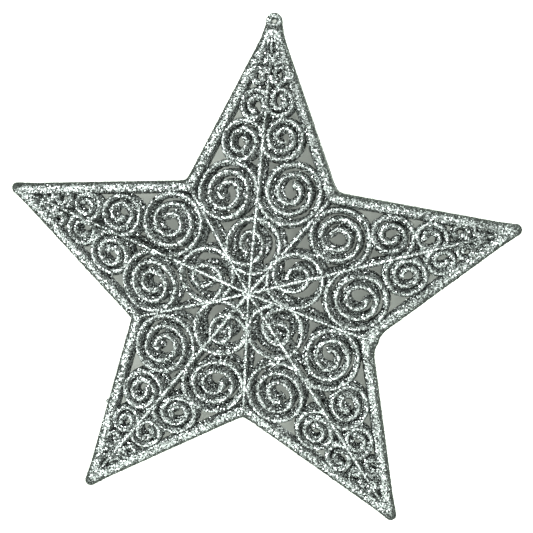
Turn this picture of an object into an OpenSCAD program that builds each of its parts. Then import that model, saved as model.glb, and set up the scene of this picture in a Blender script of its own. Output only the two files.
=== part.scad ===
// Hollow five-pointed star ornament: two openwork half shells, joined rim to rim.
// Each half is a shallow five-sided pyramid of ribs and scrolls inside a bevelled rim.
// Frame: origin at the star's centre in the seam plane, +Z to the hanging point,
// front face towards -Y. Every half is first drawn lying down, seam at z = 0.

/* [Star] */
// Radius to the sharp corners of the five points
star_r = 106; // [84:1:130]
// Height of the front shell over the seam at the centre
apex_h = 14.7; // [10:0.1:20]
// Edge thickness of one half at a point of the star
point_h = 1.4; // [1.2:0.1:2]
// Edge thickness of one half at an inner corner of the star
corner_h = 4.1; // [3.6:0.1:5]

/* [Openwork] */
// Width of the rim band, seen from the front
rim_w = 3.6; // [3:0.1:4.5]
// Width of the bevel along the rim's outer edge
bevel_w = 0.9; // [0.4:0.1:1.2]
// Width of the ribs along the ridges and the valleys
rib_w = 1.3; // [1:0.1:1.6]
// Width of a scroll strand
strand_w = 1.3; // [0.9:0.1:1.3]
// Depth of the ribs and strands below the shell's face
strand_t = 2; // [1.2:0.1:2.4]

/* [Hanging eye] */
// Outer radius of the hanging eye
eye_r = 3.1; // [2.8:0.1:3.6]
// Radius of the hole for the hanging thread
eye_hole_r = 0.9; // [0.7:0.1:1.2]
// Thickness of the hanging eye, front to back
eye_t = 3.6; // [3:0.1:4.4]

/* [Hidden] */
$fn = 64;

silver = [0.80, 0.82, 0.80];
points = 5;
step = 360 / points;               // from one point of the star to the next
half_step = step / 2;              // from a ridge to the next valley
scale_k = star_r / 106;            // the openwork grows with the star
corner_r = 0.464 * star_r;         // radius of the inner corners
corner = corner_r * [sin(half_step), cos(half_step)];
point_a = atan(corner[0] / (star_r - corner[1]));      // half the angle of a point
notch_a = half_step + point_a;                         // edge line to valley line
ridge_a = atan((apex_h - point_h) / star_r);           // slope along a ridge
valley_a = atan((apex_h - corner_h) / corner_r);       // slope along a valley
side_slope = (apex_h - corner_h - corner[1] * tan(ridge_a)) / corner[0];
side_a = atan(side_slope * cos(ridge_a));              // slope sideways off a ridge
inner_point_r = star_r - rim_w / sin(point_a);         // inner edge of the rim, at a point
inner_corner_r = corner_r - rim_w / sin(notch_a);      // inner edge of the rim, at a corner
inner_corner = inner_corner_r * [sin(half_step), cos(half_step)];
proud = 0.3;                                           // rim face above the strands
tip_r = 2.2;                                           // rounded end of a point
tip_at = star_r - 4.5;
eye_at = star_r - 3.9;                                 // centre of the hanging eye
boss_r = 0.5 * rib_w / sin(half_step / 2) + 0.5;       // where the ten ribs meet
tall = 2 * apex_h;
big = 3 * star_r;
tongue = [2.4, 6, 1.6];                                // root of the eye, held in the seam
gate = [2.4, 0.8, 0.7];                                // gate stub: along the edge, out, up
gate_at = 0.34 * star_r;                               // from the arm's sharp corner
pin_r = 0.9;
pin_l = 3.2;
pin_at = (corner_r + inner_corner_r) / 2;

// The centre scroll straddles the ridge: [x, y], first angle, then its arcs as [radius, sweep]
centre_scroll = [[-0.3, 17.8], 240, [[10.4, 325], [3.3, 40], [12, 25], [6.6, 134], [4, 220]]];
// The paired scrolls, from the wide end to the point:
// [x, y], first angle, first radius, pitch, turns
left_scrolls = [
    [[-12.7, 36.8], 12, 12.5, 3.8, 2.75],
    [[-8.6, 56.1], 22, 8.9, 3.3, 2.25],
    [[-4.6, 70.1], 43, 6.4, 2.8, 1.75],
    [[-4.0, 81.4], 30, 3.4, 1.7, 1.25],
    [[-2.8, 87.9], 30, 2.1, 1.0, 1]
];
right_scrolls = [
    [[12.4, 39.0], 200, 13.0, 3.9, 2.75],
    [[7.4, 58.9], 209, 8.7, 3.2, 2.25],
    [[5.1, 72.6], 218, 5.9, 2.8, 1.75],
    [[3.8, 82.4], 210, 3.6, 1.7, 1.25],
    [[2.8, 88.4], 210, 2.1, 1.0, 1]
];

// ---- Places ----

// Stands a lying star up, front face towards -Y
module stand() {
    rotate([90, 0, 0]) children();
}

// Turns a piece of the top arm to arm number i, counter-clockwise from the front
module arm(i) {
    rotate([0, 0, step * i]) children();
}

// Lays the XY plane on the facet beside the top ridge: side 1 is right, -1 is left
module on_facet(side) {
    translate([0, 0, apex_h]) rotate([-ridge_a, 0, 0]) rotate([0, side * side_a, 0]) children();
}

// A point seen from the front, in the plane of the facet it lies on
function to_facet(p) =
    let (across = abs(p[0]) / cos(side_a), side = sign(p[0]))
    [side * across, (p[1] + across * sin(side_a) * sin(ridge_a)) / cos(ridge_a)];

// Everything below the rim's face, which stands a little proud of the facet
module under_facet(side) {
    on_facet(side) translate([-big, -big, -tall]) cube([2 * big, 2 * big, tall + proud]);
}

// ---- Rim ----

// One half of the rim band of an arm, right of the ridge, seen from the front
module rim_plan() {
    polygon([[0, star_r], corner, inner_corner, [0, inner_point_r]]);
}

// Wedge that takes the bevel off one outer edge, along the edge's own slope
module edge_bevel() {
    edge_l = norm([corner[0], star_r - corner[1]]);
    edge_a = atan((corner_h - point_h) / edge_l);
    b = bevel_w;
    translate([0, star_r, point_h + proud]) rotate([0, 0, point_a - 90]) rotate([0, -edge_a, 0])
        translate([-b, 0, 0]) rotate([90, 0, 90])
            linear_extrude(edge_l + 3 * b) polygon([[-2 * b, b], [b, -2 * b], [b, 2 * b], [-2 * b, 2 * b]]);
}

// Half of an arm's rim band: side 1 is right of the ridge, -1 is left
module rim_side(side) {
    mirror([side < 0 ? 1 : 0, 0, 0])
        difference() {
            intersection() {
                linear_extrude(tall) rim_plan();
                under_facet(1);
            }
            edge_bevel();
        }
}

// A point's rounded end: the sharp corner is cut away and a round one put on
module tip_cut() {
    translate([-big / 2, tip_at, -1]) cube([big, big, tall + 2]);
}

module tip_end() {
    translate([0, tip_at, 0]) cylinder(r = tip_r, h = point_h + 2 * proud);
}

module eye_room() {
    translate([0, eye_at, -eye_t]) cylinder(r = eye_r, h = 2 * eye_t);
    translate([-tongue[0] / 2, eye_at - eye_r - tongue[1] + 1, -tongue[2] / 2]) cube(tongue);
}

module pin_row(h) {
    for (i = [0:points - 1])
        rotate([0, 0, step * i + half_step])
            translate([0, pin_at, -h / 2]) cylinder(r = pin_r, h = h);
}

module rim() {
    difference() {
        union() {
            for (i = [0:points - 1])
                arm(i) {
                    difference() {
                        union() {
                            rim_side(1);
                            rim_side(-1);
                        }
                        tip_cut();
                    }
                    if (i > 0) tip_end();
                }
        }
        eye_room();
        pin_row(pin_l);
    }
}

// ---- Ribs ----

// The open field inside the rim, seen from the front
module field_plan() {
    polygon([for (i = [0:points - 1], p = [[inner_point_r, 0], [inner_corner_r, half_step]])
        p[0] * [-sin(step * i + p[1]), cos(step * i + p[1])]]);
}

// Sloping bar of one rib, from the centre outwards
module rib(slope, length) {
    translate([0, 0, apex_h]) rotate([-slope, 0, 0])
        translate([-rib_w / 2, 0, -strand_t]) cube([rib_w, length, strand_t]);
}

module ribs(slope, first, length) {
    difference() {
        intersection() {
            for (i = [0:points - 1]) rotate([0, 0, step * i + first]) rib(slope, length);
            linear_extrude(tall) field_plan();
        }
        cylinder(r = boss_r, h = tall);
    }
}

module boss() {
    translate([0, 0, apex_h - 2.6]) cylinder(r = boss_r, h = 2.8);
}

// ---- Scrolls ----

// Arc of a flat band about the origin, from the +X axis round to the given angle
module arc_band(r, w, sweep) {
    intersection() {
        difference() {
            circle(r + w / 2);
            circle(r - w / 2);
        }
        polygon([[0, 0], for (i = [0:4]) 2 * (r + w) * [cos(sweep * i / 4), sin(sweep * i / 4)]]);
    }
}

// A chain of arcs, [radius, sweep] each: every arc carries on tangent to the one before
function arc_start(first_a, arcs, i) =
    i == 0 ? first_a : arc_start(first_a, arcs, i - 1) + arcs[i - 1][1];

function arc_centre(c, first_a, arcs, i) =
    i == 0 ? c
    : let (a = arc_start(first_a, arcs, i))
      arc_centre(c, first_a, arcs, i - 1) + (arcs[i - 1][0] - arcs[i][0]) * [cos(a), sin(a)];

module scroll(c, first_a, arcs) {
    for (i = [0:len(arcs) - 1])
        translate(arc_centre(c, first_a, arcs, i)) rotate(arc_start(first_a, arcs, i))
            arc_band(arcs[i][0], strand_w, arcs[i][1]);
}

// An even inward scroll is a chain of half rings
function even_arcs(first_r, pitch, turns) =
    [for (i = [0:ceil(2 * turns) - 1])
        [scale_k * (first_r - (2 * i + 1) * pitch / 4), 180 * min(1, 2 * turns - i)]];

// All the strands that cross the facet on one side of a ridge
module facet_scrolls(side) {
    scroll(scale_k * to_facet(centre_scroll[0]), centre_scroll[1],
           [for (arc = centre_scroll[2]) [scale_k * arc[0], arc[1]]]);
    for (s = side > 0 ? right_scrolls : left_scrolls)
        scroll(scale_k * (to_facet(s[0]) + s[3] / 4 * [cos(s[1]), sin(s[1])]), s[1],
               even_arcs(s[2], s[3], s[4]));
}

// The opening between a ridge rib, a valley rib and the rim, right of the top ridge
module window_plan() {
    near = [rib_w / 2, rib_w / 2 / tan(half_step / 2)];
    far = [rib_w / 2, inner_point_r - rib_w / 2 / tan(point_a)];
    side_y = (rib_w / 2 + inner_point_r * tan(point_a) * cos(half_step))
        / (tan(point_a) * cos(half_step) + sin(half_step));
    polygon([near, [(inner_point_r - side_y) * tan(point_a), side_y], far]);
}

module scroll_field() {
    for (side = [1, -1])
        intersection() {
            on_facet(side) translate([0, 0, -strand_t])
                linear_extrude(strand_t) facet_scrolls(side);
            mirror([side < 0 ? 1 : 0, 0, 0]) linear_extrude(tall) window_plan();
        }
}

// ---- Halves and loose pieces ----

module front() {
    color(silver) stand() children();
}

module back() {
    color(silver) stand() mirror([0, 0, 1]) children();
}

module locating_pins() {
    color(silver) stand() pin_row(pin_l);
}

// What is left of the moulding gate, on the outer edge of the lower left arm
module gate_vestige() {
    color(silver) stand() arm(2)
        translate([0, star_r, 0]) rotate([0, 0, point_a - 90])
            translate([gate_at, 0, 0]) cube([gate[0], gate[1], gate[2]]);
}

module hang_eye() {
    color(silver) stand()
        difference() {
            intersection() {
                eye_room();
                translate([-big / 2, 0, -eye_t / 2]) cube([big, big, eye_t]);
            }
            translate([0, eye_at, -eye_t]) cylinder(r = eye_hole_r, h = 2 * eye_t);
        }
}

front() rim();  // front_rim
front() ribs(ridge_a, 0, star_r);  // front_ridge_ribs
front() ribs(valley_a, half_step, corner_r);  // front_valley_ribs
front() boss();  // front_centre_boss
front() arm(0) scroll_field();  // front_scrolls_top
front() arm(1) scroll_field();  // front_scrolls_left
front() arm(2) scroll_field();  // front_scrolls_lower_left
front() arm(3) scroll_field();  // front_scrolls_lower_right
front() arm(4) scroll_field();  // front_scrolls_right
back() rim();  // back_rim
back() ribs(ridge_a, 0, star_r);  // back_ridge_ribs
back() ribs(valley_a, half_step, corner_r);  // back_valley_ribs
back() boss();  // back_centre_boss
back() arm(0) scroll_field();  // back_scrolls_top
back() arm(1) scroll_field();  // back_scrolls_left
back() arm(2) scroll_field();  // back_scrolls_lower_left
back() arm(3) scroll_field();  // back_scrolls_lower_right
back() arm(4) scroll_field();  // back_scrolls_right
locating_pins();
hang_eye();
gate_vestige();
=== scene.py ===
"""Looks for the hollow glitter star: both half shells, their scrolls, the hanging eye."""
import math

import bpy
import numpy as np
from mathutils import Matrix, Vector


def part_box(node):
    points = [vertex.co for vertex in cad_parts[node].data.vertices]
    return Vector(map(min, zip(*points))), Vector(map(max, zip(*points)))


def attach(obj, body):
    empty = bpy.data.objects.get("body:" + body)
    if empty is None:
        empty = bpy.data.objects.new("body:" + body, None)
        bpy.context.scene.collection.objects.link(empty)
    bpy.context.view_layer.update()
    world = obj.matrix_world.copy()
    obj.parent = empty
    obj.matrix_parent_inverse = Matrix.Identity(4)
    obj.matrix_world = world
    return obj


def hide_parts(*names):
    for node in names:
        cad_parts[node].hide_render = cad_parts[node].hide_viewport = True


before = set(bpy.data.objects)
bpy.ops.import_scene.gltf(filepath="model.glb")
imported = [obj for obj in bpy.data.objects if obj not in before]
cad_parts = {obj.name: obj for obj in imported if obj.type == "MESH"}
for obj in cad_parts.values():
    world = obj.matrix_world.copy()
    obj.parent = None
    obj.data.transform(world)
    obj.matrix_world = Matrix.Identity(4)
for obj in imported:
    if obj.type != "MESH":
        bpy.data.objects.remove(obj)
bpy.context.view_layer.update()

MM = 0.001
rng = np.random.default_rng(11)

# ---- Sizes, in millimetres, in the frame of a star that lies on its seam, top point up ----
# _R is a radius, _H a height over the seam, _W a width, _T a thickness, _A an angle, and _AT a
# distance from the star's centre

# The sharp top point lies this far past the eye, and the CAD boss stands this proud of the apex
POINT_PAST_EYE = 0.8
BOSS_PROUD = 0.2
STAR_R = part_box("hang_eye")[1].z / MM + POINT_PAST_EYE
APEX_H = -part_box("front_centre_boss")[0].y / MM - BOSS_PROUD
POINT_H = 1.4
CORNER_H = 4.1
CORNER_R = 0.464 * STAR_R
STEP = math.radians(72)
HALF_STEP = STEP / 2
RIM_W = 3.6
RIM_PROUD = 0.3
RIB_PROUD = 0.3
RIB_WIDTH = 0.85
RIB_INTO_RIM = 0.8
EYE_AT = STAR_R - 3.9
EYE_R = 3.1
EYE_HOLE_R = 0.9
EYE_T = 3.6
TIP_R = 2.2
TIP_AT = STAR_R - 4.5
# Distance between the rings along a strand or a rim
GRAIN = 0.5
# How rough glue and glitter make the skin
SKIN_NOISE = 0.07

CORNER = CORNER_R * np.array([math.sin(HALF_STEP), math.cos(HALF_STEP)])
POINT_A = math.atan(CORNER[0] / (STAR_R - CORNER[1]))
INNER_POINT_R = STAR_R - RIM_W / math.sin(POINT_A)
INNER_CORNER_R = CORNER_R - RIM_W / math.sin(HALF_STEP + POINT_A)
RIDGE_A = math.atan((APEX_H - POINT_H) / STAR_R)
SIDE_SLOPE = (APEX_H - CORNER_H - CORNER[1] * math.tan(RIDGE_A)) / CORNER[0]
SIDE_A = math.atan(SIDE_SLOPE * math.cos(RIDGE_A))
VALLEY_A = math.atan((APEX_H - CORNER_H) / CORNER_R)

ARMS = ["top", "left", "lower_left", "lower_right", "right"]

# The scrolls are given for a star of this radius
SCROLL_SCALE = STAR_R / 106
# [x, y], first angle, then the arcs as [radius, sweep]
CENTRE_SCROLL = ((-0.3, 17.8), 240, ((10.4, 325), (3.3, 40), (12, 25), (6.6, 134), (4, 220)))
# [x, y], first angle, first radius, pitch, turns
LEFT_SCROLLS = (
    ((-12.7, 36.8), 12, 12.5, 3.8, 2.75),
    ((-8.6, 56.1), 22, 8.9, 3.3, 2.25),
    ((-4.6, 70.1), 43, 6.4, 2.8, 1.75),
    ((-4.0, 81.4), 30, 3.4, 1.7, 1.25),
    ((-2.8, 87.9), 30, 2.1, 1.0, 1),
)
RIGHT_SCROLLS = (
    ((12.4, 39.0), 200, 13.0, 3.9, 2.75),
    ((7.4, 58.9), 209, 8.7, 3.2, 2.25),
    ((5.1, 72.6), 218, 5.9, 2.8, 1.75),
    ((3.8, 82.4), 210, 3.6, 1.7, 1.25),
    ((2.8, 88.4), 210, 2.1, 1.0, 1),
)


def facet_z(x, y):
    """Height of the shell's face over the seam, in the frame of its arm."""
    return APEX_H - y * math.tan(RIDGE_A) - abs(x) * SIDE_SLOPE


def ramp_up(value, start, span):
    """From 0 at start to 1 a span further on."""
    return np.clip((value - start) / span, 0, 1)


def running_length(path):
    """How far along the path each of its points is."""
    return np.concatenate([[0], np.cumsum(np.linalg.norm(np.diff(path, axis=0), axis=1))])


def off_facet(side, p):
    """Points given in the plane of a facet, as across, along and out, in the arm's frame."""
    s = side * SIDE_A
    x = p[..., 0] * math.cos(s) + p[..., 2] * math.sin(s)
    z = -p[..., 0] * math.sin(s) + p[..., 2] * math.cos(s)
    y = p[..., 1] * math.cos(RIDGE_A) + z * math.sin(RIDGE_A)
    z = -p[..., 1] * math.sin(RIDGE_A) + z * math.cos(RIDGE_A)
    return np.stack([x, y, z + APEX_H], -1)


def to_facet(p):
    """A point seen from the front, in the plane of the facet it lies on."""
    across = abs(p[0]) / math.cos(SIDE_A)
    along = (p[1] + across * math.sin(SIDE_A) * math.sin(RIDGE_A)) / math.cos(RIDGE_A)
    return np.array([math.copysign(across, p[0]), along])


def turned(points, i):
    """The points of the top arm turned to arm i, counter-clockwise from the front."""
    c, s = math.cos(STEP * i), math.sin(STEP * i)
    x, y = points[..., 0], points[..., 1]
    return np.stack([c * x - s * y, s * x + c * y, points[..., 2]], -1)


# ---- Shells: vertices, quads, triangles, and each vertex's coat value, glitter and painted light, low to high ----

def lofted(rings, ring_coat, closed=False):
    """Skin over rings of points, with their coat values, which paint light and shade as well as
    glitter. Open ends are closed by a fan.
    """
    n, m = rings.shape[:2]
    index = np.arange(n * m).reshape(n, m)
    here = index if closed else index[:-1]
    ahead = np.roll(index, -1, 0) if closed else index[1:]
    quads = np.stack([here, np.roll(here, -1, 1), np.roll(ahead, -1, 1), ahead], -1).reshape(-1, 4)
    verts, coat = rings.reshape(-1, 3), ring_coat.reshape(-1)
    fans = np.zeros((0, 3), int)
    if not closed:
        verts = np.concatenate([verts, rings[:1].mean(1), rings[-1:].mean(1)])
        coat = np.concatenate([coat, [ring_coat[0].mean(), ring_coat[-1].mean()]])
        a, b = index[0], index[-1]
        first = np.stack([np.roll(a, -1), a, np.full(m, n * m)], -1)
        last = np.stack([b, np.roll(b, -1), np.full(m, n * m + 1)], -1)
        fans = np.concatenate([first, last])
    return verts, quads, fans, coat


# Section of a moulded strand with draft: [across, down] from the left foot over the crest
STRAND = np.array([
    [-1.45, 2.1], [-1.24, 1.6], [-0.95, 1.02], [-0.66, 0.45], [-0.37, 0.1], [0, 0],
    [0.37, 0.1], [0.66, 0.45], [0.95, 1.02], [1.24, 1.6], [1.45, 2.1], [0, 2.15],
])
# Crests and undersides are painted light and flanks painted shade, on top of the glitter itself
# Coat and painted light at those points: of a scroll near the centre, of a scroll far out, and of a
# rib
STRAND_COAT_AND_SHADE = np.array([0.3, 0.3, 0.32, 0.38, 0.66, 0.95, 0.66, 0.38, 0.32, 0.3, 0.3, 0.85])
BROAD_COAT_AND_SHADE = np.array([0.4, 0.42, 0.45, 0.5, 0.63, 0.78, 0.63, 0.5, 0.45, 0.42, 0.4, 0.85])
RIB_COAT_AND_SHADE = np.array([0.3, 0.3, 0.3, 0.32, 0.7, 1.15, 0.7, 0.32, 0.3, 0.3, 0.3, 0.85])
# A strand's width wanders by this share, with a new draw every so many millimetres
WAVE_DEPTH = 0.07
WAVE_STEP = 3
# Where the scrolls start to widen towards the points, and over what span
FLARE_FROM, FLARE_SPAN = 80, 12
SIDE_NOISE = 0.085
# A bead at a strand's end: how much wider it is, its radius, and its rounded cap
BEAD_SWELL = 0.45
BEAD_R = 0.7
BEAD_CAP = 0.55
LEAST_CAP = 0.12
# Where a scroll's coat and painted shade turn into those of a scroll far out, and where it gets
# darker, by how much
BROAD_FROM, BROAD_SPAN = 35, 35
DARKER_FROM, DARKER_SPAN, DARKER_BY = 76, 8, 0.32


def strand(path, across, down, coat, width=1.0, beads=(False, False), flare=0.25):
    """A strand along a path. A bead closes an end where the scroll really stops."""
    run = running_length(path)
    knots = rng.normal(0, 1, int(run[-1] / WAVE_STEP) + 4)
    wide = width * (1 + WAVE_DEPTH * np.interp(run / WAVE_STEP, np.arange(len(knots)), knots))
    reach = np.hypot(path[:, 0], path[:, 1])
    wide = wide * (1 + flare * ramp_up(reach, FLARE_FROM, FLARE_SPAN))
    for at_end, distance in zip(beads, (run, run[-1] - run)):
        if at_end:
            wide = wide * (1 + BEAD_SWELL * np.exp(-((distance - BEAD_R) / BEAD_R) ** 2))
            off_cap = (1 - distance / BEAD_CAP).clip(0, 1)
            wide = wide * np.sqrt(np.clip(1 - off_cap ** 2, LEAST_CAP, 1))
    sections = np.repeat(STRAND[None], len(path), 0)
    sections[..., 0] *= wide[:, None]
    sections[..., 0] += rng.normal(0, SIDE_NOISE, sections.shape[:2])
    sections[..., 1] += rng.normal(0, SKIN_NOISE, sections.shape[:2])
    rings = (path[:, None] + sections[..., :1] * across[:, None]
             + sections[..., 1:] * down[:, None])
    return lofted(rings, coat)


def scroll_coat_and_shade(path):
    """A scroll's coat and painted shade: its flanks get less painted shade further out, and it is
    darker near the points.
    """
    reach = np.hypot(path[:, 0], path[:, 1])[:, None]
    outward = ramp_up(reach, BROAD_FROM, BROAD_SPAN)
    darkening = DARKER_BY * ramp_up(reach, DARKER_FROM, DARKER_SPAN)
    return STRAND_COAT_AND_SHADE + outward * (BROAD_COAT_AND_SHADE - STRAND_COAT_AND_SHADE) - darkening


BLOB_SIDES = 10
LUMP_COAT_AND_SHADE = 0.6


def blob(centre, size):
    """A low lump of plastic and glitter where strands run together."""
    lat = np.linspace(-0.5, 0.5, 7)[1:-1] * math.pi
    lon = np.arange(BLOB_SIDES) / BLOB_SIDES * 2 * math.pi
    unit = np.stack(np.broadcast_arrays(
        np.cos(lat)[:, None] * np.cos(lon), np.cos(lat)[:, None] * np.sin(lon),
        np.sin(lat)[:, None]), -1)
    swell = rng.normal(1, 0.06, unit.shape[:2])[..., None]
    rings = np.asarray(centre) + unit * np.asarray(size) * swell
    # Painted shade: the lump is darker towards its foot
    coat = LUMP_COAT_AND_SHADE * np.clip(np.sin(lat) + 0.6, 0, 1)
    return lofted(rings, np.repeat(coat[:, None], BLOB_SIDES, 1))


# ---- Scrolls ----

def arc_chain(centre, first_a, arcs):
    """Points of a chain of arcs, every arc tangent to the one before, a grain apart."""
    points, c, a, last_r = [], np.array(centre, float), math.radians(first_a), None
    for radius, sweep in arcs:
        if last_r is not None:
            c = c + (last_r - radius) * np.array([math.cos(a), math.sin(a)])
        turn = math.radians(sweep)
        count = max(3, int(radius * turn / GRAIN))
        t = a + turn * np.arange(count) / count
        points.append(c + radius * np.stack([np.cos(t), np.sin(t)], -1))
        a, last_r = a + turn, radius
    points.append((c + last_r * np.array([math.cos(a), math.sin(a)]))[None])
    return np.concatenate(points)


def even_arcs(first_r, pitch, turns):
    """The half circles, as [radius, sweep], that make up an even spiral."""
    count = math.ceil(2 * turns)
    return [(SCROLL_SCALE * (first_r - (2 * i + 1) * pitch / 4), 180 * min(1, 2 * turns - i))
            for i in range(count)]


def field_paths(side):
    """Facet points of every scroll that crosses the facet on one side of a ridge."""
    c, a, arcs = CENTRE_SCROLL
    arcs = [(SCROLL_SCALE * r, sweep) for r, sweep in arcs]
    yield arc_chain(SCROLL_SCALE * to_facet(c), a, arcs)
    for c, a, r, pitch, turns in RIGHT_SCROLLS if side > 0 else LEFT_SCROLLS:
        lead = np.array([math.cos(math.radians(a)), math.sin(math.radians(a))])
        start = SCROLL_SCALE * (to_facet(c) + pitch / 4 * lead)
        yield arc_chain(start, a, even_arcs(r, pitch, turns))


# How far a scroll's centre line runs into the ribs and into the rim around its window
RIB_OVERLAP = 0.25
RIM_OVERLAP = 1.3


def window_room(side, seen):
    """How far inside its window a point of the top arm is, with the ribs' and rim's overlap."""
    x, y = side * seen[:, 0], seen[:, 1]
    off_ridge = x + RIB_OVERLAP
    off_valley = y * math.sin(HALF_STEP) - x * math.cos(HALF_STEP) + RIB_OVERLAP
    off_rim = (INNER_POINT_R - y) * math.sin(POINT_A) - x * math.cos(POINT_A) + RIM_OVERLAP
    return np.minimum(np.minimum(off_ridge, off_valley), off_rim)


# A lump joins a scroll to a rib that its centre line passes at between these two distances
CONTACT_NEAR, CONTACT_FAR = 0.1, 1.5
# There are no contacts nearer to the star's centre than this
CONTACT_FROM = 12
CONTACT_DROP = 0.45
CONTACT_SIZE = (1.25, 1.25, 0.75)


def scroll_shells():
    """Every strand of one arm's openwork, in the frame of the top arm."""
    for side in (1, -1):
        out = off_facet(side, np.array([0, 0, 1.0])) - off_facet(side, np.array([0, 0, 0.0]))
        for path in field_paths(side):
            flat = np.concatenate([path, np.zeros((len(path), 1))], 1)
            seen = off_facet(side, flat)
            tangent = np.gradient(seen, axis=0)
            tangent /= np.linalg.norm(tangent, axis=1)[:, None]
            across = np.cross(tangent, out)
            inside = window_room(side, seen) > 0
            edges = np.flatnonzero(np.diff(inside.astype(int))) + 1
            for run in np.split(np.arange(len(path)), edges):
                if inside[run[0]] and len(run) > 3:
                    beads = (run[0] == 0, run[-1] == len(path) - 1)
                    yield strand(seen[run], across[run], np.repeat(-out[None], len(run), 0),
                                 scroll_coat_and_shade(seen[run]), beads=beads)
            for place in contacts(side, seen):
                yield blob(place - CONTACT_DROP * out, CONTACT_SIZE)


def contacts(side, seen):
    """Where a scroll only just touches the ridge or the valley rib beside it."""
    x, y = side * seen[:, 0], seen[:, 1]
    for gap in (x, y * math.sin(HALF_STEP) - x * math.cos(HALF_STEP)):
        near = (gap > CONTACT_NEAR) & (gap < CONTACT_FAR) & (y > CONTACT_FROM)
        low = near & (gap <= np.roll(gap, 1)) & (gap <= np.roll(gap, -1))
        for k in np.flatnonzero(low):
            yield seen[k]


# ---- Ribs and boss ----

# How far out each arm's ridge rib stays bright, counter-clockwise from the top
RIDGE_BRIGHT = (52, 28, 84, 76, 72)
VALLEY_BRIGHT = 40
RIB_DARKER_BY = 0.5
RIB_DARKER_SPAN = 15
RIB_START = 0.4
RIDGE_LENGTH = INNER_POINT_R + RIB_INTO_RIM
VALLEY_LENGTH = INNER_CORNER_R + RIB_INTO_RIM


def rib_shell(slope, first, length, bright):
    """A rib from the apex outward. It gets darker from as far out as bright says."""
    count = int(length / GRAIN)
    r = np.linspace(RIB_START, length, count)
    heading = np.array([math.sin(-first), math.cos(first)])
    height = APEX_H + RIB_PROUD - r * math.tan(slope)
    path = np.stack([r * heading[0], r * heading[1], height], -1)
    across = np.array([heading[1], -heading[0], 0])
    coat = RIB_COAT_AND_SHADE - RIB_DARKER_BY * ramp_up(r, bright, RIB_DARKER_SPAN)[:, None]
    return strand(path, np.repeat(across[None], count, 0), np.repeat([[0, 0, -1.0]], count, 0),
                  coat, width=RIB_WIDTH, flare=0)


# [radius, height over the apex] of the boss, from its foot up
BOSS = np.array([
    [2.5, -2.6], [2.6, -1.6], [2.45, -0.7], [2.0, -0.25], [1.4, -0.05], [0.8, 0.12], [0.3, 0.18],
])
BOSS_SIDES = 24
BOSS_NOISE = (0.04, 0.03)
RIB_COUNT = 10
SPOKE_DEPTH = 0.06


def boss_shell():
    """The lump at the apex where the ten ribs run together."""
    a = np.arange(BOSS_SIDES) / BOSS_SIDES * 2 * math.pi
    spoke = 1 + SPOKE_DEPTH * np.cos(RIB_COUNT * a)
    r = BOSS[:, :1] * spoke + rng.normal(0, BOSS_NOISE[0], (len(BOSS), BOSS_SIDES))
    z = APEX_H + BOSS[:, 1:] + rng.normal(0, BOSS_NOISE[1], (len(BOSS), BOSS_SIDES))
    rings = np.stack([r * np.cos(a), r * np.sin(a), z], -1)
    # Painted shade: the boss is darker towards its foot
    coat = LUMP_COAT_AND_SHADE * np.clip(BOSS[:, 1:] + 1.2, 0, 1)
    return lofted(rings, np.repeat(coat, BOSS_SIDES, 1))


# ---- Rim ----

# Over how much of the edge a point's round end runs out
BULGE_LENGTH = 9.5
# At the top the band starts on a level line under the hole, this wide to each side
LEVEL_HALF = 2.6
LEVEL_POINTS = 6


def rim_lines(arm):
    """Outer and inner edge of the band right of a ridge, from the point to the inner corner."""
    down = np.array([math.sin(POINT_A), -math.cos(POINT_A)])
    outward = np.array([math.cos(POINT_A), math.sin(POINT_A)])
    edge_length = math.hypot(CORNER[0], STAR_R - CORNER[1])
    end_r, end_at = (EYE_R, EYE_AT) if arm == 0 else (TIP_R, TIP_AT)
    bulge = end_r - (STAR_R - end_at) * math.sin(POINT_A)
    first_s = (STAR_R - end_at) * math.cos(POINT_A)
    if arm == 0:
        under_hole = EYE_AT - EYE_HOLE_R - 0.35
        outer = [np.array([x, under_hole]) for x in np.linspace(0, LEVEL_HALF, LEVEL_POINTS)]
    else:
        outer = [np.array([end_r * math.cos(a), end_at + end_r * math.sin(a)])
                 for a in np.linspace(math.pi / 2, POINT_A, 8)]
    for s in np.arange(first_s + GRAIN, edge_length, GRAIN):
        fade = max(0.0, 1 - (s - first_s) / BULGE_LENGTH) ** 2
        outer.append(np.array([0, STAR_R]) + s * down + bulge * fade * outward)
    outer.append(CORNER.copy())
    outer = np.array(outer)
    inner_start = np.array([0, INNER_POINT_R])
    inner_end = INNER_CORNER_R * np.array([math.sin(HALF_STEP), math.cos(HALF_STEP)])
    run = running_length(outer)
    share = (run / run[-1])[:, None]
    inner = inner_start + share * (inner_end - inner_start)
    return outer, inner, run[-1] - run


# Fill in the inner corners, counter-clockwise after each arm: how far out, from how far off
CORNER_FILL = ((0.5, 4.0), (0.1, 4.0), (0.6, 4.0), (2.7, 7.5), (0.7, 4.0))

# Section of the rim's land as [share of the band's width, drop under its face], and its coat and
# painted light
RIM_LAND = ((0, 1.3), (0.06, 0.85), (0.15, 0.42), (0.26, 0.1), (0.38, 0), (0.56, 0), (0.76, 0),
            (1, 0.05), (1.08, 0.35))
# Painted shade on the outer bevel, painted light on the land's face
RIM_LAND_COAT_AND_SHADE = (-0.9, -0.9, -0.3, -0.2, 0.34, 0.74, 0.52, 0.3, 0.3)
# Painted light and shade: how much lighter than usual the land is, on the left and right of each
# arm's rim, as the light falls
RIM_SIDE_PAINTED_LIGHT = ((0.06, -0.1), (0.06, 0.1), (0.14, 0.04), (0.1, -0.02), (0, 0.02))
# How much lighter it is near the points, and from how far out
TIP_LIFT, TIP_FROM, TIP_SPAN = 0.07, 74, 12
# Both only count where the coat value is higher than this
LEAST_BRIGHT = 0.2
# The rim's inner wall as [how far down, share of the band's width], then its foot on the seam
RIM_INSIDE = ((0.2, 1.14), (0.45, 1.22), (0.72, 1.3))
RIM_INSIDE_FOOT = 1.34
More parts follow.
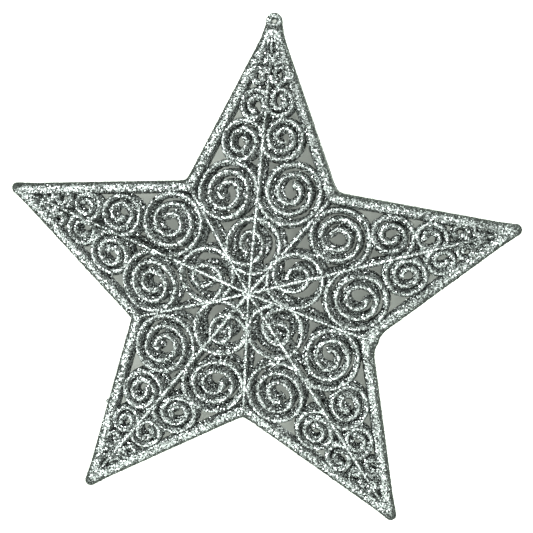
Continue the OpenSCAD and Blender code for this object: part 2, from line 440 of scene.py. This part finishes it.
# The inner wall is painted lighter than the shade it stands in
RIM_INSIDE_PAINTED_LIGHT = 0.7
# The outer wall has a lip at the seam, whose foot is set back by this share of the band's width
SEAM_LIP = 0.22
SEAM_SET_BACK = 0.03
# Over the lip the wall has rows at these shares of its height, and no land lies lower than this
OUTER_WALL_STEPS = (0.4, 0.75)
LEAST_WALL = 0.35
# Painted shade: the outer wall is dark all along the star's outline
OUTER_WALL_PAINTED_SHADE = -0.5
UNDERSIDE_COAT = 0.5

# Where the glitter is rubbed off the edge of the right arm, in the frame of the top arm
BARE_PATCH_ARM = 4
BARE_PATCH = (17.6, 63.4)
BARE_PATCH_R = 1.3
BARE_PATCH_DEPTH = 1.5


def rim_shell(arm, side):
    """One half of one arm's rim, right of the ridge or left of it, down to the seam."""
    outer, inner, to_corner = rim_lines(arm)
    fill_by, span = CORNER_FILL[arm if side < 0 else (arm - 1) % 5]
    fill = fill_by * np.clip(1 - to_corner / span, 0, 1) ** 2
    valley = np.array([math.sin(HALF_STEP), math.cos(HALF_STEP)])
    outer = outer + fill[:, None] * valley
    columns, coats = [], []

    def add(share, z, coat):
        p = outer + share * (inner - outer)
        columns.append(np.concatenate([p, np.broadcast_to(z, len(p))[:, None]], 1))
        coats.append(coat)

    def face(share):
        p = outer + share * (inner - outer)
        return facet_z(p[:, 0], p[:, 1]) + RIM_PROUD

    wall = face(0) - RIM_LAND[0][1]
    add(SEAM_SET_BACK, 0.0, OUTER_WALL_PAINTED_SHADE)
    add(0, SEAM_LIP, OUTER_WALL_PAINTED_SHADE)
    for part in OUTER_WALL_STEPS:
        add(0, SEAM_LIP + part * np.maximum(wall - SEAM_LIP, 0.05), OUTER_WALL_PAINTED_SHADE)
    for (share, drop), coat in zip(RIM_LAND, RIM_LAND_COAT_AND_SHADE):
        add(share, np.maximum(face(share) - drop, LEAST_WALL), coat)
    top = face(1) - RIM_LAND[-1][1]
    for part, share in RIM_INSIDE:
        add(share, top * (1 - part), RIM_INSIDE_PAINTED_LIGHT)
    add(RIM_INSIDE_FOOT, 0.0, RIM_INSIDE_PAINTED_LIGHT)
    add(0.5, 0.0, UNDERSIDE_COAT)
    rings = np.stack(columns, 1)
    off_seam = rings[..., 2] > 0.3
    rings[..., 2] += rng.normal(0, SKIN_NOISE, rings.shape[:2]) * off_seam
    rings[1:-1, :, :2] += rng.normal(0, SKIN_NOISE, rings[1:-1, :, :2].shape)
    rings[..., 0] *= side
    reach = np.hypot(outer[:, 0], outer[:, 1])
    # Painted light and shade: each side of the rim lighter or darker as the light falls, and lighter
    # near the points
    extra = RIM_SIDE_PAINTED_LIGHT[arm][side > 0] + TIP_LIFT * ramp_up(reach, TIP_FROM, TIP_SPAN)
    coat = np.array(coats) + extra[:, None] * (np.array(coats) > LEAST_BRIGHT)
    if arm == BARE_PATCH_ARM and side > 0:
        off_patch = np.linalg.norm(rings[..., :2] - BARE_PATCH, axis=-1)
        coat -= BARE_PATCH_DEPTH * np.exp(-(off_patch / BARE_PATCH_R) ** 2)
    if side < 0:
        rings, coat = rings[::-1], coat[::-1]
    return lofted(rings, coat)


# ---- Eye and gate ----

EYE_SIDES = 36
TONGUE_LENGTH = 5


def eye_shells():
    """The hanging eye: a ring with a rounded edge, and the tongue that the seam holds."""
    half = EYE_T / 2
    profile = np.array([
        [EYE_HOLE_R, -1.2], [EYE_HOLE_R + 0.12, -1.6], [EYE_HOLE_R + 0.5, -half], [2.0, -half],
        [2.6, -half + 0.12], [2.95, -1.25], [EYE_R, -0.65], [EYE_R, 0], [EYE_R, 0.65],
        [2.95, 1.25], [2.6, half - 0.12], [2.0, half], [EYE_HOLE_R + 0.5, half],
        [EYE_HOLE_R + 0.12, 1.6], [EYE_HOLE_R, 1.2], [EYE_HOLE_R, 0.4], [EYE_HOLE_R, -0.4],
    ])
    # Painted shade: the eye's rounded outer edge and its hole are darker
    edge_or_hole = np.where(profile[:, 0] < 1.1, -0.5, 0.5)
    coat = np.where(profile[:, 0] > 2.8, -0.8, edge_or_hole)
    a = np.arange(EYE_SIDES) / EYE_SIDES * 2 * math.pi
    r = profile[:, 0] + rng.normal(0, 0.045, (EYE_SIDES, len(profile)))
    z = profile[:, 1] + rng.normal(0, 0.045, (EYE_SIDES, len(profile)))
    rings = np.stack([r * np.cos(a)[:, None], EYE_AT + r * np.sin(a)[:, None], z], -1)
    yield lofted(rings, np.repeat(coat[None], EYE_SIDES, 0), closed=True)
    eye_foot = EYE_AT - EYE_R
    ys = np.arange(eye_foot - TONGUE_LENGTH, eye_foot + 1.2, 0.6)
    section = np.array([[-1.2, -0.8], [1.2, -0.8], [1.2, 0.8], [-1.2, 0.8]])
    tongue = np.stack([np.stack([section[:, 0], np.full(4, y), section[:, 1]], -1) for y in ys])
    yield lofted(tongue[::-1], np.zeros(tongue.shape[:2]))


# Distance from the arm's sharp point, along its edge
GATE_AT = 0.34 * STAR_R + 1.2


def gate_shell():
    """What is left of the moulding gate, a stub on the lower left arm's outer edge."""
    down = np.array([math.sin(POINT_A), -math.cos(POINT_A)])
    outward = np.array([math.cos(POINT_A), math.sin(POINT_A)])
    base = np.array([0, STAR_R]) + GATE_AT * down + 0.1 * outward
    return blob((base[0], base[1], 0.4), (1.0, 1.1, 0.4))


# ---- Materials ----

def node_material(name):
    """An empty node material, with its tree and its output node."""
    mat = bpy.data.materials.new(name)
    mat.use_nodes = True
    tree = mat.node_tree
    tree.nodes.clear()
    out = tree.nodes.new("ShaderNodeOutputMaterial")
    return mat, tree, out


def add_node(tree, kind, **inputs):
    """A node with some of its properties or sockets set."""
    node = tree.nodes.new(kind)
    for key, value in inputs.items():
        if hasattr(node, key) and key not in node.inputs:
            setattr(node, key, value)
        else:
            node.inputs[key].default_value = value
    return node


def math_node(tree, operation, a, b, clamp=False):
    """The output of a math node whose inputs are numbers or other outputs."""
    node = tree.nodes.new("ShaderNodeMath")
    node.operation = operation
    node.use_clamp = clamp
    for socket, value in zip(node.inputs, (a, b)):
        if isinstance(value, (int, float)):
            socket.default_value = value
        else:
            tree.links.new(value, socket)
    return node.outputs[0]


FLAKE = 0.43 * MM
# Painted glints and reflections: a flake's tone stands in for the light it catches, dark, grey or a
# bright glint
PAINTED_DARK_FLAKE = (0.058, 0.066, 0.062, 1)
PAINTED_GREY_FLAKE = (0.33, 0.378, 0.352, 1)
PAINTED_GLINT_FLAKE = (0.63, 0.685, 0.665, 1)
GLUE = (0.05, 0.055, 0.05, 1)


def glitter_material():
    """Silver glitter flakes in clear glue: every flake has its own tilt, painted glint tone and
    gloss.
    """
    mat, tree, out = node_material("silver_glitter")
    link = tree.links.new
    coord = add_node(tree, "ShaderNodeTexCoord")
    cells = add_node(tree, "ShaderNodeTexVoronoi", Scale=1 / FLAKE, Randomness=1.0)
    link(coord.outputs["Object"], cells.inputs["Vector"])
    edges = add_node(tree, "ShaderNodeTexVoronoi", Scale=1 / FLAKE, Randomness=1.0)
    edges.feature = "DISTANCE_TO_EDGE"
    link(coord.outputs["Object"], edges.inputs["Vector"])
    split = add_node(tree, "ShaderNodeSeparateColor")
    link(cells.outputs["Color"], split.inputs["Color"])
    patchy = add_node(tree, "ShaderNodeTexNoise", Scale=260.0, Detail=2.0)
    link(coord.outputs["Object"], patchy.inputs["Vector"])
    coat = add_node(tree, "ShaderNodeAttribute", attribute_name="coat_and_painted_light")

    # The higher the coat value, the more of its flakes get a painted glint, which paints its light
    # and shade
    lift = math_node(tree, "MULTIPLY", coat.outputs["Fac"], 0.5)
    patch = math_node(tree, "SUBTRACT", patchy.outputs["Fac"], 0.5)
    drift = math_node(tree, "MULTIPLY", patch, 0.5)
    tone = math_node(tree, "ADD", split.outputs[0], lift)
    tone = math_node(tree, "ADD", tone, drift)
    ramp = tree.nodes.new("ShaderNodeValToRGB")
    stops = ramp.color_ramp.elements
    stops[0].position = 0.70
    stops[0].color = PAINTED_DARK_FLAKE
    stops[1].position = 0.88
    stops[1].color = PAINTED_GLINT_FLAKE
    stops.new(0.77).color = PAINTED_GREY_FLAKE
    link(tone, ramp.inputs["Fac"])

    gap = math_node(tree, "MULTIPLY", edges.outputs["Distance"], 8.0, clamp=True)
    shade = tree.nodes.new("ShaderNodeMix")
    shade.data_type = "RGBA"
    shade.inputs["A"].default_value = GLUE
    link(gap, shade.inputs["Factor"])
    link(ramp.outputs["Color"], shade.inputs["B"])

    # Every flake leans its own way, the least so where the coat value is highest
    geometry = add_node(tree, "ShaderNodeNewGeometry")
    centred = add_node(tree, "ShaderNodeVectorMath", operation="SUBTRACT")
    link(cells.outputs["Color"], centred.inputs[0])
    centred.inputs[1].default_value = (0.5, 0.5, 0.5)
    tilt = add_node(tree, "ShaderNodeVectorMath", operation="SCALE")
    link(centred.outputs[0], tilt.inputs[0])
    over = math_node(tree, "SUBTRACT", coat.outputs["Fac"], 0.6)
    flat = math_node(tree, "MAXIMUM", math_node(tree, "MULTIPLY", over, 1.6), 0.0)
    link(math_node(tree, "SUBTRACT", 1.8, flat), tilt.inputs["Scale"])
    laid = add_node(tree, "ShaderNodeVectorMath", operation="MULTIPLY")
    link(geometry.outputs["Normal"], laid.inputs[0])
    laid.inputs[1].default_value = (1, 1.3, 1)
    leaned = add_node(tree, "ShaderNodeVectorMath", operation="ADD")
    link(laid.outputs[0], leaned.inputs[0])
    link(tilt.outputs[0], leaned.inputs[1])
    normal = add_node(tree, "ShaderNodeVectorMath", operation="NORMALIZE")
    link(leaned.outputs[0], normal.inputs[0])

    rough = add_node(tree, "ShaderNodeMapRange")
    rough.inputs["To Min"].default_value = 0.15
    rough.inputs["To Max"].default_value = 0.40
    link(split.outputs[1], rough.inputs["Value"])

    shader = add_node(tree, "ShaderNodeBsdfPrincipled", Metallic=0.85)
    shader.inputs["Specular Tint"].default_value = (0.45, 0.47, 0.45, 1)
    shader.inputs["Specular IOR Level"].default_value = 0.2
    link(shade.outputs["Result"], shader.inputs["Base Color"])
    link(rough.outputs[0], shader.inputs["Roughness"])
    link(normal.outputs[0], shader.inputs["Normal"])
    link(shader.outputs[0], out.inputs["Surface"])
    return mat


def plastic_material():
    """Bare moulded plastic, with a fine uneven skin."""
    mat, tree, out = node_material("bare_plastic")
    link = tree.links.new
    coord = add_node(tree, "ShaderNodeTexCoord")
    noise = add_node(tree, "ShaderNodeTexNoise", Scale=900.0, Detail=3.0)
    link(coord.outputs["Object"], noise.inputs["Vector"])
    ramp = tree.nodes.new("ShaderNodeValToRGB")
    ramp.color_ramp.elements[0].color = (0.50, 0.52, 0.50, 1)
    ramp.color_ramp.elements[1].color = (0.62, 0.64, 0.62, 1)
    link(noise.outputs["Fac"], ramp.inputs["Fac"])
    bump = add_node(tree, "ShaderNodeBump", Strength=0.15, Distance=0.0002)
    link(noise.outputs["Fac"], bump.inputs["Height"])
    shader = add_node(tree, "ShaderNodeBsdfPrincipled", Roughness=0.48)
    link(ramp.outputs["Color"], shader.inputs["Base Color"])
    link(bump.outputs["Normal"], shader.inputs["Normal"])
    link(shader.outputs[0], out.inputs["Surface"])
    return mat


glitter = glitter_material()
plastic = plastic_material()


# ---- Pieces ----

def piece(name, shells, arm=0, back=False):
    """One mesh object from closed shells, stood up in the row frame, in place of its node."""
    verts, faces, coats, base = [], [], [], 0
    for v, quads, fans, coat in shells:
        verts.append(turned(v, arm))
        coats.append(coat)
        faces += (quads + base).tolist() + (fans + base).tolist()
        base += len(v)
    lying = np.concatenate(verts)
    depth = lying[:, 2] if back else -lying[:, 2]
    standing = np.stack([lying[:, 0], depth, lying[:, 1]], -1) * MM
    if back:
        faces = [f[::-1] for f in faces]
    mesh = bpy.data.meshes.new(name)
    mesh.from_pydata(standing.tolist(), [], faces)
    mesh.update()
    # Each vertex's coat value: its glitter, with painted light and shade
    layer = mesh.attributes.new("coat_and_painted_light", "FLOAT", "POINT")
    layer.data.foreach_set("value", np.concatenate(coats).astype(np.float32))
    mesh.shade_smooth()
    mesh.materials.append(glitter)
    obj = bpy.data.objects.new(name, mesh)
    bpy.context.scene.collection.objects.link(obj)
    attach(obj, "root")
    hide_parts(name)


def around(shells, arms):
    """Shells made in the frame of the top arm, each turned to its own arm."""
    return [(turned(v, i), quads, fans, coat)
            for (v, quads, fans, coat), i in zip(shells, arms)]


for half, back in (("front", False), ("back", True)):
    rims = [rim_shell(i, side) for i in range(5) for side in (1, -1)]
    piece(half + "_rim", around(rims, np.repeat(range(5), 2)), back=back)
    ridge = [rib_shell(RIDGE_A, 0, RIDGE_LENGTH, bright) for bright in RIDGE_BRIGHT]
    piece(half + "_ridge_ribs", around(ridge, range(5)), back=back)
    valley = [rib_shell(VALLEY_A, -HALF_STEP, VALLEY_LENGTH, VALLEY_BRIGHT) for _ in range(5)]
    piece(half + "_valley_ribs", around(valley, range(5)), back=back)
    piece(half + "_centre_boss", [boss_shell()], back=back)
    for i, arm in enumerate(ARMS):
        piece(f"{half}_scrolls_{arm}", scroll_shells(), arm=i, back=back)

piece("hang_eye", eye_shells())
piece("gate_vestige", [gate_shell()], arm=ARMS.index("lower_left"))
# The pins are hidden inside the rims, so they keep their CAD mesh
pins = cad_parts["locating_pins"]
pins.data.materials.clear()
pins.data.materials.append(plastic)

# ---- Camera ----

AZIMUTH, ELEVATION, ROLL = (math.radians(a) for a in (7.54, 5.99, 4.4))
TARGET = Vector((0.00411, 0, 0.00930))
CAMERA_DISTANCE = 0.46987
back_dir = Vector((math.sin(AZIMUTH) * math.cos(ELEVATION),
                   -math.cos(AZIMUTH) * math.cos(ELEVATION), math.sin(ELEVATION)))
right_dir = Vector((0, 0, 1)).cross(back_dir).normalized()
up_dir = back_dir.cross(right_dir)
turn = Matrix.Rotation(ROLL, 3, back_dir)
right_dir, up_dir = turn @ right_dir, turn @ up_dir
camera_data = bpy.data.cameras.new("camera")
camera_data.lens = 82.6
camera_data.sensor_width = 36
camera = bpy.data.objects.new("camera", camera_data)
axes = Matrix((right_dir, up_dir, back_dir)).transposed().to_4x4()
camera.matrix_world = Matrix.Translation(TARGET + CAMERA_DISTANCE * back_dir) @ axes
bpy.context.scene.collection.objects.link(camera)
bpy.context.scene.camera = camera

# ---- Stage and light ----

# The star hangs just in front of a pale sheet, which a light at the camera washes white. A
# star-shaped flag in the seam plane, which only that light sees, keeps it off the sheet behind
# the star, so that the gaps in the openwork are grey.
WALL_Y = 0.0165
WALL_HALF = 1.5
WALL_TOP = 1.5
FLOOR_Z = -0.150
FLOOR_HALF = 3
FLAG_SHARE = 0.997
# The flag takes every so many points of the rim's edge, without those that the eye covers
OUTLINE_STRIDE = 4
UNDER_EYE = LEVEL_POINTS + 2


def stage_sheet(name, corners, tone, glow=0, one_sided=False):
    """A matt sheet that belongs to the picture and not to the part, and can be clear from behind."""
    mesh = bpy.data.meshes.new(name)
    mesh.from_pydata(corners, [], [tuple(range(len(corners)))])
    mat, tree, out = node_material(name)
    shader = add_node(tree, "ShaderNodeBsdfPrincipled", Roughness=1.0)
    shader.inputs["Base Color"].default_value = (*tone, 1)
    shader.inputs["Specular IOR Level"].default_value = 0
    shader.inputs["Emission Color"].default_value = (*tone, 1)
    shader.inputs["Emission Strength"].default_value = glow
    if one_sided:
        geometry = add_node(tree, "ShaderNodeNewGeometry")
        clear = add_node(tree, "ShaderNodeBsdfTransparent")
        mix = tree.nodes.new("ShaderNodeMixShader")
        tree.links.new(geometry.outputs["Backfacing"], mix.inputs[0])
        tree.links.new(shader.outputs[0], mix.inputs[1])
        tree.links.new(clear.outputs[0], mix.inputs[2])
        tree.links.new(mix.outputs[0], out.inputs["Surface"])
    else:
        tree.links.new(shader.outputs[0], out.inputs["Surface"])
    mesh.materials.append(mat)
    obj = bpy.data.objects.new(name, mesh)
    bpy.context.scene.collection.objects.link(obj)
    return obj


def star_outline():
    """The star's outline from the front, clockwise from the top arm, with fewer points."""
    outline = []
    for i in range(5):
        right_side = rim_lines(i)[0]
        if i == 0:
            a = np.linspace(0, math.pi / 2, 5)[:, None]
            eye = np.array([0, EYE_AT]) + EYE_R * np.concatenate([np.sin(a), np.cos(a)], 1)
            right_side = np.concatenate([eye, right_side[UNDER_EYE:]])
        right_side = right_side[::OUTLINE_STRIDE]
        left_side = right_side[:0:-1] * [-1, 1]
        points = np.concatenate([left_side, right_side])
        points = np.concatenate([points, np.zeros((len(points), 1))], 1)
        outline.append(turned(points, -i))
    return np.concatenate(outline)


wall_edges = ((-WALL_HALF, FLOOR_Z), (WALL_HALF, FLOOR_Z),
              (WALL_HALF, WALL_TOP), (-WALL_HALF, WALL_TOP))
wall = stage_sheet("backdrop", [(x, WALL_Y, z) for x, z in wall_edges], (0.205, 0.22, 0.2),
                   glow=0.65, one_sided=True)
floor_edges = ((-1, -1), (1, -1), (1, 1), (-1, 1))
stage_sheet("floor", [(FLOOR_HALF * x, FLOOR_HALF * y, FLOOR_Z) for x, y in floor_edges],
            (0.86, 0.87, 0.86))
flag_edges = FLAG_SHARE * MM * star_outline()
flag = stage_sheet("flag", [(x, 0, z) for x, z, _ in flag_edges], (0, 0, 0))
for way in ("camera", "diffuse", "glossy", "transmission", "volume_scatter"):
    setattr(flag, "visible_" + way, False)


def light_group(name, objects, state="INCLUDE"):
    """A collection that says which objects a light reaches, or which ones shade it or don't."""
    group = bpy.data.collections.new(name)
    for obj in objects:
        group.objects.link(obj)
        group.collection_objects[-1].light_linking.link_state = state
    return group


def softbox(name, place, size, power):
    """An area light that faces the star."""
    data = bpy.data.lights.new(name, "AREA")
    data.shape = "RECTANGLE"
    data.size, data.size_y = size
    data.energy = power
    light = bpy.data.objects.new(name, data)
    light.location = place
    light.rotation_euler = (-Vector(place)).to_track_quat("-Z", "Y").to_euler()
    bpy.context.scene.collection.objects.link(light)
    return light


for studio_light in (softbox("key", (-0.75, -1.2, 0.85), (1.0, 1.0), 25.2),
                     softbox("fill", (0.4, -1.4, 0.1), (0.6, 0.8), 30.5),
                     softbox("rear", (0.7, 1.2, 0.8), (1.2, 1.2), 26)):
    shade = light_group(studio_light.name + "_shade", [flag, wall], "EXCLUDE")
    studio_light.light_linking.blocker_collection = shade
wash = softbox("backdrop_wash", camera.location, (0.02, 0.02), 14)
wash.light_linking.receiver_collection = light_group("washed", [wall])
wash.light_linking.blocker_collection = light_group("wash_shade", [flag])

world = bpy.data.worlds.new("studio")
world.use_nodes = True
world.node_tree.nodes["Background"].inputs["Color"].default_value = (0.5, 0.52, 0.51, 1)
world.node_tree.nodes["Background"].inputs["Strength"].default_value = 1.8
bpy.context.scene.world = world
bpy.context.scene.view_settings.view_transform = "Standard"

bpy.context.view_layer.update()
